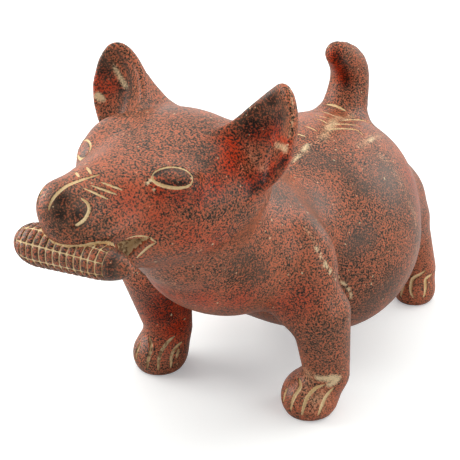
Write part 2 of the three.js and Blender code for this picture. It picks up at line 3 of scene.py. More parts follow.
import bpy
import numpy as np
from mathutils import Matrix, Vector


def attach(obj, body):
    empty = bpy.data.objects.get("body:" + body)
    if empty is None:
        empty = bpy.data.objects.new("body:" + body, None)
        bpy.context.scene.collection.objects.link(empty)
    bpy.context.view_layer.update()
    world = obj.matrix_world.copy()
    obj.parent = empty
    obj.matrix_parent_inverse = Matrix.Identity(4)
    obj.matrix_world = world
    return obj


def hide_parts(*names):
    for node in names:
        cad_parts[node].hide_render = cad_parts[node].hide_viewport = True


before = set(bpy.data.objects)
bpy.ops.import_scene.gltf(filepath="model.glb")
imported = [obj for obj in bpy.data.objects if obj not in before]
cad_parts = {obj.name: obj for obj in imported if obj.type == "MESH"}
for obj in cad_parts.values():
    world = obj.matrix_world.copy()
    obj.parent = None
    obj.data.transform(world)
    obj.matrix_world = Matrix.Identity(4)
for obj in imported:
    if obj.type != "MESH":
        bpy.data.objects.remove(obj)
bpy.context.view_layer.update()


# View: the photograph looks down on the dog from its left front, with a long lens. The distance comes from
# the way the far paws shrink beside the near ones.
view_turn = math.radians(30.2)
view_drop = math.radians(25.0)
long_lens = 93.91
film_width = 36.0
camera_place = (0.23998, -0.43023, 0.3066)


def placed(name, data):
    thing = bpy.data.objects.new(name, data)
    bpy.context.collection.objects.link(thing)
    return thing


camera = placed("camera", bpy.data.cameras.new("camera"))
camera.data.lens = long_lens
camera.data.sensor_width = film_width
camera.location = camera_place
looking = Vector((
    -math.sin(view_turn) * math.cos(view_drop),
    math.cos(view_turn) * math.cos(view_drop),
    -math.sin(view_drop),
))
camera.rotation_euler = looking.to_track_quat("-Z", "Y").to_euler()
bpy.context.scene.camera = camera


# Body of the dog: one hollow vessel of red clay, built up by hand over a round belly, with the neck, legs,
# tail and ears drawn out of the same clay. It was covered in red slip and rubbed smooth before firing.
ear_thickness = 5.2
mouth_depth = 3.0
mouth_gape = 10.0
paw_height = 19.5
head_turn = math.radians(9.0)
turn_pivot = -17.0
standing = np.array([0.58, -18.63, 0.0])
slip_wear = 0.08


# Every mass is given as its distance from a place in millimetres, less than nothing inside the clay; join
# melts two masses into each other over the softness, and cross keeps only what both have
def join(a, b, softness):
    overlap = np.maximum(softness - np.abs(a - b), 0) / softness
    return np.minimum(a, b) - overlap ** 2 * softness / 4


def cross(a, b, softness):
    return -join(-a, -b, softness)


def ball(x, y, z, centre, radii, pitch=0.0):
    px = (x - centre[0]) / radii[0]
    py = (y - centre[1] - pitch * (z - centre[2])) / radii[1]
    pz = (z - centre[2] + pitch * (y - centre[1])) / radii[2]
    reach = np.sqrt(px ** 2 + py ** 2 + pz ** 2)
    slope = np.sqrt((px / radii[0]) ** 2 + (py / radii[1]) ** 2 + (pz / radii[2]) ** 2)
    return reach * (reach - 1) / np.maximum(slope, 1e-9)


def limb(x, y, z, start, end, start_radius, end_radius):
    ax, ay, az = (end[axis] - start[axis] for axis in range(3))
    px, py, pz = x - start[0], y - start[1], z - start[2]
    along = np.clip((px * ax + py * ay + pz * az) / (ax * ax + ay * ay + az * az), 0, 1)
    radius = start_radius + (end_radius - start_radius) * along
    return np.sqrt((px - ax * along) ** 2 + (py - ay * along) ** 2 + (pz - az * along) ** 2) - radius


def torso(x, y, z):
    side = np.abs(x)
    skin = ball(x, y, z, (0, 71, 60.5), (57, 56, 50.5))
    skin = join(skin, ball(side, y, z, (20, 71, 51.5), (35, 47, 37.6)), 8)
    skin = join(skin, ball(x, y, z, (0, 2, 79.6), (38, 44, 28.6)), 20)
    skin = join(skin, ball(x, y, z, (0, 102.5, 73), (35, 30, 28.7)), 22)
    skin = join(skin, ball(side, y, z, (33.5, 2, 71), (17, 15, 27)), 8)
    return join(skin, ball(side, y, z, (28.3, 118.5, 58.5), (16.3, 16.5, 21.5)), 7)


paw_centre = paw_height * 0.39
paw_rise = paw_height * 0.64
left_paw = (37.3, 8.4, paw_centre)
right_paw = (-42.8, 6.6, paw_centre)
hind_paw = (37.6, 132.5, paw_centre * 0.76)


def legs(x, y, z, skin):
    side = np.abs(x)
    left = limb(x, y, z, (43.3, 3.5, 54), (44.2, 10.5, 20), 13.3, 10.4)
    right = limb(x, y, z, (-42, 3.5, 54), (-40.6, 11, 20), 17, 11.4)
    skin = join(skin, np.where(x > 0, left, right), 6)
    left = ball(x, y, z, left_paw, (13.3, 14.5, paw_rise), -0.2)
    right = ball(x, y, z, right_paw, (13.3, 14.5, paw_rise), -0.2)
    skin = join(skin, np.where(x > 0, left, right), 6)
    skin = join(skin, limb(side, y, z, (33.5, 126, 47), (38, 134, 18), 11, 9.5), 9)
    return join(skin, ball(side, y, z, hind_paw, (11, 12, paw_rise * 0.84), -0.15), 6)


tail_curve = np.array([(109.9, 96.0, 14.3), (121.3, 120.0, 7.2), (125.7, 126.3, 12.4), (103.6, 137.6, 6.1)])
tail_steps = 10


def curve_at(corners, share):
    rest = 1 - share
    weights = (rest ** 3, 3 * rest ** 2 * share, 3 * rest * share ** 2, share ** 3)
    return sum(weight * corner for weight, corner in zip(weights, corners))


def tail(x, y, z):
    skin = 1000.0
    for step in range(tail_steps):
        near = curve_at(tail_curve, step / tail_steps)
        far = curve_at(tail_curve, (step + 1) / tail_steps)
        skin = np.minimum(skin, limb(x, y, z, (0, near[0], near[1]), (0, far[0], far[1]), near[2], far[2]))
    return skin


def ear(x, y, z, side):
    tip = np.clip((z - 138) / 24, 0, 1)
    x = x - 0.95 * (1 - side) * tip
    z = z - (1.2 - 0.3 * side) * tip
    inner = np.hypot(x - 88.2, z - 98.3) - 82.9
    outer = np.hypot(x - 25.9, z - 147.6) - (26.3 + 0.4 * side)
    across = (x - 37) / 14
    up = (z - 147) / 22
    bowl = np.minimum(across ** 2 + up ** 2, 1.6)
    middle = -22.5 - 7 * bowl + 0.25 * (z - 147)
    cupping = np.where(bowl < 1.6, 14.0, 0.0)
    slope = np.sqrt(1 + (cupping * across / 14) ** 2 + (cupping * up / 22 - 0.25) ** 2)
    plate = np.abs(y - middle) / slope - ear_thickness / 2
    return cross(cross(inner, outer, 6), plate, 3.5)


def whole_head(x, y, z):
    side = np.abs(x)
    skin = ball(x, y, z, (0, -35, 123), (40, 31, 26.2))
    skin = join(skin, ball(x, y, z, (0, -50, 123.5), (35, 27, 21)), 6)
    skin = join(skin, ball(x, y, z, (0, -48, 113), (33, 32, 19)), 10)
    skin = join(skin, ball(x, y, z, (0, -62, 126), (21, 28, 15), 0.1), 10)
    skin = join(skin, limb(x, y, z, (0, -78, 128.5), (-0.8, -97.2, 129.3), 13, 11), 8)
    skin = join(skin, ball(x, y, z, (0, -82, 121), (18.5, 23, 9)), 5)
    skin = join(skin, limb(x, y, z, (0, -60, 108), (0, -88, 106), 15, 8), 7)
    skin = join(skin, ball(x, y, z, (22, -61.9, 134.2), (9, 7.1, 5.9)), 6)
    skin = join(skin, ball(x, y, z, (-21, -60, 134.2), (7.5, 7.1, 5.9)), 6)
    skin = join(skin, ball(x, y, z, (-24, -47, 136), (9, 11, 8)), 8)
    skin = join(skin, limb(side, y, z, (22, -22, 134), (35, -19, 150), 10.5, 4), 8)
    return join(skin, ear(side, y, z, np.sign(x)), 5)


def mouth_cut(y, z):
    forward = -75 - y
    upper = z - 115 - forward * 0.04
    lower = 115 - np.minimum(forward * 3, mouth_gape) - z
    return np.maximum(np.maximum(upper, lower), -forward)


def head(x, y, z):
    skin = whole_head(x, y, z)
    skin = np.maximum(skin, np.minimum(-mouth_cut(y, z), skin + mouth_depth))
    return join(skin, limb(x, y, z, (-8, -91, 111), (8, -91, 111), 8, 8), 2)


def to_head(x, y):
    back = y - turn_pivot
    return (
        math.cos(head_turn) * x - math.sin(head_turn) * back,
        math.sin(head_turn) * x + math.cos(head_turn) * back + turn_pivot,
    )


def from_head(places):
    x, y, z = np.asarray(places, float).T
    back = y - turn_pivot
    return np.stack([
        math.cos(head_turn) * x + math.sin(head_turn) * back,
        -math.sin(head_turn) * x + math.cos(head_turn) * back + turn_pivot,
        z,
    ], axis=1)


def form(places):
    x, y, z = places.T
    skin = tail(x, y, z)
    skin = join(legs(x, y, z, torso(x, y, z)), skin, 7)
    skin = join(skin, limb(x, y, z, (0, -4, 85), (0, -34, 102), 32, 28), 12)
    near = (y < 27) & (z > 43)
    hx, hy = to_head(x[near], y[near])
    skin[near] = join(skin[near], head(hx, hy, z[near]), 6)
    return cross(skin + slip_wear, -z, 0.8)


def outward(places, here):
    step = 0.05
    moved = [form(places + step * np.eye(3)[axis]) for axis in range(3)]
    return (np.stack(moved, axis=1) - here[:, None]) / step


def settle(places, passes=3):
    places = places.copy()
    for _ in range(passes):
        here = form(places)
        away = outward(places, here)
        steep = np.maximum((away ** 2).sum(axis=1), 0.2)
        places -= away * np.clip(here / steep, -2, 2)[:, None]
    return places


# First skin: one point for each cell of a lattice that the form passes through, joined in fours
lattice_cell = 2.0
lattice_low = np.array([-65.7, -122.3, -7.7])
lattice_high = np.array([66.0, 156.0, 175.0])


def first_skin():
    axes = [np.arange(low, high, lattice_cell) for low, high in zip(lattice_low, lattice_high)]
    corners = np.stack(np.meshgrid(*axes, indexing="ij"), axis=-1)
    values = form(corners.reshape(-1, 3)).reshape(corners.shape[:3])
    sizes = np.array(values.shape)
    sums = np.zeros((*(sizes - 1), 3))
    counts = np.zeros(sizes - 1)
    ids = -np.ones(sizes - 1, int)
    crossings = []
    for axis in range(3):
        low = np.take(values, range(sizes[axis] - 1), axis)
        high = np.take(values, range(1, sizes[axis]), axis)
        met = (low < 0) != (high < 0)
        where = np.argwhere(met)
        share = (low / np.where(met, low - high, 1))[met]
        places = where.astype(float)
        places[:, axis] += share
        crossings.append((axis, where, low[met] < 0))
        others = [other for other in range(3) if other != axis]
        for first in (0, -1):
            for second in (0, -1):
                cell = where.copy()
                cell[:, others[0]] += first
                cell[:, others[1]] += second
                np.add.at(sums, tuple(cell.T), places)
                np.add.at(counts, tuple(cell.T), 1)
    used = counts > 0
    ids[used] = np.arange(used.sum())
    points = lattice_low + lattice_cell * sums[used] / counts[used][:, None]
    faces = []
    for axis, where, outwards in crossings:
        first, second = (axis + 1) % 3, (axis + 2) % 3
        ring = []
        for shift in ((0, 0), (-1, 0), (-1, -1), (0, -1)):
            cell = where.copy()
            cell[:, first] += shift[0]
            cell[:, second] += shift[1]
            ring.append(ids[tuple(cell.T)])
        quad = np.stack(ring, axis=1)
        quad[~outwards] = quad[~outwards][:, ::-1]
        faces.append(quad)
    return points, np.concatenate(faces)


def sides_of(faces):
    pairs = np.sort(np.concatenate([faces[:, [0, 1]], faces[:, [1, 2]], faces[:, [2, 0]]]), axis=1)
    sides, found = np.unique(pairs, axis=0, return_inverse=True)
    return sides, found.reshape(3, -1).T


def even(points, faces):
    sides, _ = sides_of(faces)
    sums = np.zeros_like(points)
    counts = np.zeros(len(points))
    for one, other in ((0, 1), (1, 0)):
        np.add.at(sums, sides[:, one], points[sides[:, other]])
        np.add.at(counts, sides[:, one], 1)
    return settle(sums / counts[:, None], 1)


# Where detail is wanted the facets are split: each marked side is halved, and its new point settles on
# the form
def split(points, faces, wanted):
    sides, found = sides_of(faces)
    marked = wanted(points[sides[:, 0]], points[sides[:, 1]])
    middles = np.full(len(sides), -1)
    middles[marked] = len(points) + np.arange(marked.sum())
    halfway = (points[sides[marked, 0]] + points[sides[marked, 1]]) / 2
    points = np.concatenate([points, settle(halfway, 2)])
    cuts = middles[found]
    number = (cuts >= 0).sum(axis=1)
    made = [faces[number == 0]]
    whole = number == 3
    (a, b, c), (ab, bc, ca) = faces[whole].T, cuts[whole].T
    made += [np.stack(face, axis=1) for face in ((a, ab, ca), (ab, b, bc), (ca, bc, c), (ab, bc, ca))]
    for turned in range(3):
        order = [(turned + step) % 3 for step in range(3)]
        face, cut = faces[:, order], cuts[:, order]
        one = (number == 1) & (cut[:, 0] >= 0)
        (a, b, c), ab = face[one].T, cut[one, 0]
        made += [np.stack([a, ab, c], axis=1), np.stack([ab, b, c], axis=1)]
        two = (number == 2) & (cut[:, 2] < 0)
        (a, b, c), (ab, bc) = face[two].T, cut[two, :2].T
        made += [np.stack([ab, b, bc], axis=1), np.stack([a, ab, bc], axis=1), np.stack([a, bc, c], axis=1)]
    return points, np.concatenate(made)


points, quads = first_skin()
points = settle(points)
faces = np.concatenate([quads[:, [0, 1, 2]], quads[:, [0, 2, 3]]])
for _ in range(2):
    points = even(points, faces)


# Incised lines: cut through the slip with a thin stick while the clay was leather hard. Each narrows to a
# third of its width at both ends, and its bare clay shows pale: eyes, nose, whiskers, lips, claws and back.
eye_line = 0.46
nose_line = 0.62
whisker_line = 0.4
toe_line = 0.8
lip_line = 0.5
back_line = 0.45
line_step = 0.4


def smooth_path(places):
    places = np.asarray(places, float)
    ends = np.concatenate([[2 * places[0] - places[1]], places, [2 * places[-1] - places[-2]]])
    drawn = []
    for before, start, end, after in zip(ends, ends[1:], ends[2:], ends[3:]):
        count = max(2, int(np.linalg.norm(end - start) / line_step))
        share = np.linspace(0, 1, count, endpoint=False)[:, None]
        drawn.append(0.5 * (
            2 * start + (end - before) * share
            + (2 * before - 5 * start + 4 * end - after) * share ** 2
            + (3 * start - before - 3 * end + after) * share ** 3
        ))
    return settle(np.concatenate(drawn + [places[-1:]]))


def lid(side, first, last):
    angle = np.radians(np.linspace(first, last, 9))[:, None]
    middle = np.array([23.5, -66.5, 137.0])
    along = 7.4 * np.array([0.816, 0.565, -0.125])
    up = 4.1 * np.array([-0.485, 0.718, 0.495])
    return (middle + along * np.cos(angle) + up * np.sin(angle)) * (side, 1, 1)


other_side = np.array([-5.0, 0.0, 0.0])
bridge = np.array([
    (1.0, -107.1, 132.2), (1.3, -105.7, 135.3), (2.1, -102.8, 138), (2.8, -96.5, 139.6), (3.7, -90.7, 139.9),
    (5.5, -85.4, 140.3),
])
nostril = np.array([
    (8.4, -97.7, 135.7), (9.8, -96.2, 133.6), (10.5, -96.1, 131.4), (10.8, -97.6, 129.3),
    (10.6, -99.4, 127.9), (8.6, -103, 126),
])
whiskers = [
    np.array([(6.4, -94.6, 138), (11.9, -88.2, 133)]),
    np.array([(6.8, -91.4, 138.2), (13, -84.6, 133.9)]),
    np.array([(7.9, -87.4, 138.4), (13.5, -82, 135)]),
]
dashes = [
    np.array([(-2.3, -90.2, 140.4), (1.6, -92.2, 140.2)]),
    np.array([(-1.3, -85.5, 141.3), (3.4, -87.8, 140.5)]),
]
lip_edges = [
    np.array([(15.5, -86, 117.5), (18.6, -79.5, 116), (20.4, -75.5, 114.6), (20.9, -73, 113.3)]),
    np.array([(20.8, -73.2, 113), (18.5, -74.6, 110.8), (15.6, -75.3, 107.5), (13.2, -75.7, 104.8)]),
]
front_claws = [
    [(30.1, -0.9, 13.4), (29.5, -2.5, 9.8), (29.1, -2.7, 6.1)],
    [(34.7, 1.7, 18.5), (36.8, -1.2, 16.2), (35.4, -4.2, 12.2), (34.3, -5.3, 5.1)],
    [(47.9, 0.5, 19.9), (44.3, -0.4, 17.6), (41.3, -3.1, 13), (39.9, -5.2, 4.4)],
    [(51.2, 3.1, 17.9), (48.5, 1.4, 13.3), (47.3, -0.7, 8.3), (46.4, -1.4, 4.4)],
    [(-48.3, -2.5, 15.1), (-48.6, -4.8, 11.7), (-49.4, -5.6, 5.9)],
    [(-43.9, -1.7, 18.9), (-41.1, -4.3, 14.8), (-41.1, -6.7, 10.5), (-41.7, -7.3, 4.7)],
    [(-32.2, 2.7, 20.2), (-35.2, -0.7, 16.4), (-36.3, -4.4, 11.8), (-36.5, -5.6, 4.5)],
    [(-30.2, 6.1, 16), (-31.6, 2, 13.8), (-32, -0.6, 10.6), (-32, -1.3, 5)],
    [(-30.7, 3.9, 12.9), (-30.7, 1.7, 9.4)],
]
hind_claws = [
    [(-8.3, -5.4, 13), (-8.2, -7.8, 9), (-7.6, -9.2, 4)],
    [(-4.2, -6.8, 16), (-3, -10.4, 11), (-3.4, -11.6, 4.5)],
    [(6.4, -4.8, 20.3), (1.6, -8, 15), (2.1, -11.6, 9.8), (4.2, -12, 5.8)],
    [(9, -0.8, 16.9), (7.3, -4.5, 15.1), (8.9, -6.2, 10.3), (8.9, -8.2, 5.6)],
]
spine_strokes = [
    [(-7.5, 95.2, 108.9), (-3, 96.6, 109.2), (6, 92, 109.6)],
    [(-6, 88, 110), (0, 87, 110.5), (7, 86.5, 110)],
    [(-1.2, 80.3, 110.9), (2.3, 81.8, 110.8), (7.4, 79.2, 110.5)],
    [(0.4, 69.8, 110.9), (3.9, 69.1, 110.8), (7.7, 67.8, 110.4)],
    [(-1, 60.5, 111), (5.8, 60.3, 109.7)],
]
rump_strokes = [
    [(-5.4, 104.2, 110.6), (-1.1, 103.2, 111.2), (6.3, 102.7, 109.5)],
    [(10.7, 72.9, 110.1), (15.8, 81.6, 108.8), (19.7, 86.7, 107.1), (24.3, 85, 105.4)],
    [(8.6, 78.8, 110.3), (13.3, 86.7, 109), (17.9, 94.3, 106.6)],
    [(10.1, 88, 109.5), (12, 97.7, 107.6), (14.8, 105.9, 105.1), (17.6, 109.6, 102.3), (19.9, 113.4, 99.2)],
]

incisions = []


def incise(places, half_width, depth, heavy=0.5):
    incisions.append((smooth_path(places), half_width, depth, heavy))


for side in (1, -1):
    incise(from_head(lid(side, 176, 4)), eye_line, 0.5)
    incise(from_head(lid(side, 170, 366)), eye_line * 1.35, 0.7, 0.35)
    shift = other_side if side < 0 else 0
    mirror = (side, 1, 1)
    incise(from_head(bridge * mirror + shift), nose_line, 0.7, 0.3)
    incise(from_head(nostril * mirror + shift), nose_line * 1.1, 0.7, 0.6)
    for whisker in whiskers:
        incise(from_head(whisker * mirror + shift), whisker_line, 0.4)
for dash in dashes:
    incise(from_head(dash), whisker_line * 1.3, 0.4)
for edge in lip_edges:
    incise(from_head(edge), lip_line, 0.4)
for claw in front_claws:
    incise(claw, toe_line, 0.8, 0.4)
for claw in hind_claws:
    for side in (1, -1):
        on_foot = [((hind_paw[0] + out) * side, hind_paw[1] + back, up) for out, back, up in claw]
        incise(on_foot, toe_line, 0.8, 0.4)
for stroke in spine_strokes:
    incise(stroke, back_line, 0.4)
for stroke in rump_strokes:
    incise(stroke, back_line * 1.5, 0.8)


# How far each point is from the nearest line, in half widths of that line, and how deep it cuts there
def nearest_line(points, reach):
    ratio = np.full(len(points), 9.0)
    depth = np.zeros(len(points))
    for path, half_width, deep, heavy in incisions:
        low, high = path.min(axis=0) - reach, path.max(axis=0) + reach
        close = np.flatnonzero(((points > low) & (points < high)).all(axis=1))
        if not len(close):
            continue
        share = np.linspace(0, 1, len(path))
        taper = np.minimum(share / heavy, (1 - share) / (1 - heavy))
        widths = half_width * (0.35 + 0.65 * np.sqrt(np.clip(taper * 1.6, 0, 1)))
        gaps = np.linalg.norm(points[close][:, None] - path[None], axis=2) / widths
        found = gaps.min(axis=1)
        better = found < ratio[close]
        ratio[close[better]] = found[better]
        depth[close[better]] = deep
    return ratio, depth


def near_lines(reach, longest):
    def wanted(start, end):
        long = np.linalg.norm(end - start, axis=1) > longest
        middle = (start + end) / 2
        long[long] = nearest_line(middle[long], reach * 1.5)[0] * toe_line < reach
        return long
    return wanted


def sharp_bends(start, end):
    long = np.flatnonzero(np.linalg.norm(end - start, axis=1) > 1.1)
    ends = [outward(place[long], form(place[long])) for place in (start, end)]
    ends = [away / np.linalg.norm(away, axis=1)[:, None] for away in ends]
    wanted = np.zeros(len(start), bool)
    wanted[long] = (ends[0] * ends[1]).sum(axis=1) < 0.9
    return wanted


points, faces = split(points, faces, sharp_bends)
points, faces = split(points, faces, near_lines(reach=4.0, longest=1.3))
points = even(points, faces)
points, faces = split(points, faces, near_lines(reach=2.6, longest=0.75))
points, faces = split(points, faces, near_lines(reach=1.7, longest=0.42))

# The stick pushes up a low lip of clay on both sides of a line
lip_height = 0.12
lip_place = 1.6
lip_spread = 0.45
groove_reach = 1.25
away = outward(points, form(points))
away /= np.linalg.norm(away, axis=1)[:, None]
ratio, depth = nearest_line(points, 3.0)
groove = np.clip(groove_reach - ratio, 0, 1) / groove_reach
lip = np.exp(-((ratio - lip_place) / lip_spread) ** 2)
carved = points - away * (depth * np.clip(groove * 1.8, 0, 1) - lip_height * lip * (depth > 0))[:, None]


# Lips: pale clay was left showing in the mouth: as a band where the cob is pressed on under the snout, and in
# the gap that runs back to the corner of the mouth, where the teeth are roughly scratched.
cob_length = 54.3
cob_butt = 9.2
cob_tip = 6.1
butt_rounding = 13.3
tip_rounding = 15.1
cob_middle = np.array([2.1, -97.5, 111.4])
cob_axis = np.array([0.993, 0.121, 0.019])
cob_axis /= np.linalg.norm(cob_axis)
lip_width = 1.5


def cob_radius(along):
    straight = cob_butt + (cob_tip - cob_butt) * along / cob_length
    end = np.clip(np.minimum(along / butt_rounding, (cob_length - along) / tip_rounding), 0, 1)
    return straight * np.sqrt(1 - (1 - end) ** 2)


def gap_to_cob(points):
    hx, hy = to_head(points[:, 0], points[:, 1])
    from_middle = np.stack([hx, hy, points[:, 2]], axis=1) - cob_middle
    along = from_middle @ cob_axis
    beside = np.linalg.norm(from_middle - along[:, None] * cob_axis, axis=1)
    return beside - cob_radius(along + cob_length / 2)


def in_mouth(points):
    hx, hy = to_head(points[:, 0], points[:, 1])
    z = points[:, 2]
    near = (hy < -72) & (hy > -100) & (z > 102) & (z < 118)
    sunk = np.zeros(len(points))
    sunk[near] = -whole_head(hx[near], hy[near], z[near])
    return sunk


# Paint: the slip was fired brick red, clouded dark by smoke on the nose, ears, shoulder and flank, and
# brighter where the flame reached; it is rubbed through to pale clay at high places. The same paint also
# lays painted shade, darker and deep orange, in the ear hollows, under the near upper lid, where the head
# shades the shoulder and chest, on the right front leg, inside the tail's curve, on the jaw under the cob
# and deep in the mouth; and pale clay also lays painted highlights on the back, haunch and chest and
# painted floor light on the near front leg.
def dabs(strength, size, *places):
    gaps = np.linalg.norm(points[:, None] - np.array(places, float)[None], axis=2)
    return strength * np.exp(-((gaps / size) ** 2)).max(axis=1)


def streak(strength, half_width, *places):
    path = smooth_path(places)
    gaps = np.full(len(points), 99.0)
    low, high = path.min(axis=0) - 9, path.max(axis=0) + 9
    close = np.flatnonzero(((points > low) & (points < high)).all(axis=1))
    gaps[close] = np.linalg.norm(points[close][:, None] - path[None], axis=2).min(axis=1)
    return strength * np.exp(-((gaps / half_width) ** 2))


def head_dabs(strength, size, *places):
    return dabs(strength, size, *from_head(places))


def head_streak(strength, half_width, *places):
    return streak(strength, half_width, *from_head(places))


# Each dab and streak has its strength, then its size in millimetres and its places. Smoke and shade darkens
# the slip, as fire clouding and as painted shade; ember and shade turns it orange, as flame colour and as the
# deep unglossed orange painted into shade; wear and highlight is clay rubbed bare, and also painted
# highlights and painted floor light; dull is a hollow that was not burnished
smoke = np.maximum.reduce([
    dabs(0.95, 8, (15.1, 48.2, 104.9), (22.6, 51.6, 103.3), (31.1, 53.2, 99.6), (38.3, 53.2, 94.2)),
    dabs(0.95, 11, (40.9, 73.1, 95.5), (45.6, 68.7, 90.6), (49.1, 67.2, 85.8), (43.2, 62.4, 92.4)),
    dabs(0.95, 10, (22.9, -1.2, 109), (28.7, 7.1, 102.5), (30.4, 18.4, 94.8), (28.7, 28, 94),
         (39.7, 5.3, 95.5), (30, 30, 101)),
    dabs(0.9, 8, (44.8, 39.1, 73.3), (46.6, 43.6, 75.9), (42.8, 35.1, 71.5)),
    dabs(0.9, 8, (49.6, 45.5, 42), (52, 48.6, 45.5), (55, 55.3, 48.4)),
    # painted shade: the shoulder under the jaw, where the head shades it
    dabs(1.0, 9, (27.2, -35, 89.5), (29.2, -30.3, 84.8), (26, -36, 91)),
    dabs(0.5, 8, (52.5, -5.9, 52.3), (47.4, -6.6, 43.8), (49.4, -3.1, 35.1)),
    # painted shade: the right front leg and the chest beside it
    dabs(0.8, 9, (-32.9, -3.9, 34.8), (-29.2, -4.9, 44.2), (-36.5, -8.5, 42), (-25, 8, 38)),
    head_dabs(1.4, 6.5, (4.7, -103.9, 136), (5.4, -106, 131.1), (9.4, -101, 130.4)),
    head_dabs(0.8, 6, (13.3, -94.4, 122.5), (9, -102.5, 125.8)),
    head_dabs(0.6, 5, (38.2, -44.5, 118.9), (35.8, -50.5, 126.5), (30.1, -65, 131.8)),
    head_dabs(0.6, 8, (-19.6, -31.1, 146.7), (-5, -35.2, 148.9), (6.9, -36.8, 148.7), (15.6, -38, 146.9)),
    head_dabs(0.7, 5.5, (22.1, -51.5, 141.5), (26.9, -51.5, 138.7), (24.7, -44.7, 142.1)),
    # smoke in the near ear's hollow, with painted shade deepest in the hollow
    head_dabs(1.3, 7, (28.7, -26.8, 153.3), (31.4, -25.3, 155.1), (35.1, -24.9, 151.8)),
    head_dabs(1.4, 7, (30.2, -27.3, 148.5), (37.1, -24.1, 159.2), (41, -26, 154)),
    # smoke in the far ear's hollow, with painted shade in the hollow
    head_dabs(1.2, 5, (-49, -28.2, 159.3), (-47.5, -27.5, 155.1), (-39.7, -25.2, 148.2)),
    head_streak(1.2, 2.2, (50, -33.7, 141), (46.3, -33.1, 136.7), (43, -33.5, 132.7), (39.3, -39.9, 127.2)),
    # painted shade along the inside of the near upper lid
    head_streak(1.2, 1.6, (17.8, -69.3, 138.5), (20.3, -66.5, 140.2), (23.5, -64.6, 140.8),
                (27.1, -63.6, 140)),
    head_streak(1.2, 2.0, (22.8, -69.3, 136.5), (26.4, -67.9, 136.2), (28.8, -65.7, 136.5)),
    head_streak(0.9, 2.4, (-21, -66.5, 138.7), (-19.2, -69.5, 136.7)),
    head_streak(1.3, 1.5, (-43, -25.2, 163.2), (-40.2, -24.1, 159.2), (-37.4, -24.3, 154.1),
                (-35.2, -25.6, 149.3), (-36.5, -26.3, 144.8), (-39.8, -28, 140.2)),
    # painted shade on the inside of the tail's curve
    streak(1.1, 2.5, (2.4, 98.1, 138.1), (4.7, 103.9, 131.9), (3, 107, 120)),
    # painted shadow of the cob on the lower jaw
    head_dabs(0.8, 4, (15.1, -91.9, 107.5), (15, -94.8, 111)),
])
ember = np.maximum.reduce([
    head_dabs(1, 7, (31.9, -42.5, 137), (30.1, -39.3, 139.8), (27.5, -35.7, 142.8)),
    head_dabs(0.8, 6, (22, -71.4, 133), (28.2, -67.3, 131.7), (31.6, -60.1, 130.6), (32.7, -52.6, 132.4)),
    head_dabs(1, 5, (38.1, -38.4, 130.5), (40.5, -34.1, 131.4), (44, -32.5, 135.1), (49, -33, 141.3)),
    head_dabs(1, 4, (32.1, -27.9, 145.1), (36.9, -25.9, 145.6), (40.4, -25.5, 147.5)),
    head_streak(1, 1.4, (39.4, -26.7, 143.2), (43.8, -27.5, 145.7), (51.3, -32.5, 147.7),
                (51.9, -32.7, 145.2)),
    head_dabs(0.8, 5, (-50.2, -30.4, 150.9), (-48.9, -30.2, 147.6), (-45, -26.9, 148.9)),
    head_dabs(0.5, 8, (30.3, -64.5, 115.4), (23.2, -73, 124.6), (33.9, -54.2, 110.7), (16, -81.1, 131.4)),
    # painted shade: deep orange where the head and body shade the chest, the shoulder and the right front leg
    dabs(0.6, 9, (23.6, -32.6, 71.4), (10.4, -42.6, 72.5), (34.3, -12.8, 62.6), (40.6, -11.3, 66.1)),
    dabs(0.6, 9, (3, -50, 72), (-6, -46, 70)),
    dabs(1, 12, (-32.9, -3.9, 34.8), (-29.2, -4.9, 44.2), (-28, 6, 38), (-30, 2, 26)),
    dabs(0.5, 9, (51.2, 95.2, 68.9), (47.4, 101.3, 73.8), (45.5, 96.7, 83)),
    # painted shade: deep orange on the inside of the tail's curve
    streak(1, 4, (1, 97.7, 138), (1.3, 104, 130), (1.5, 109.3, 122.8)),
])
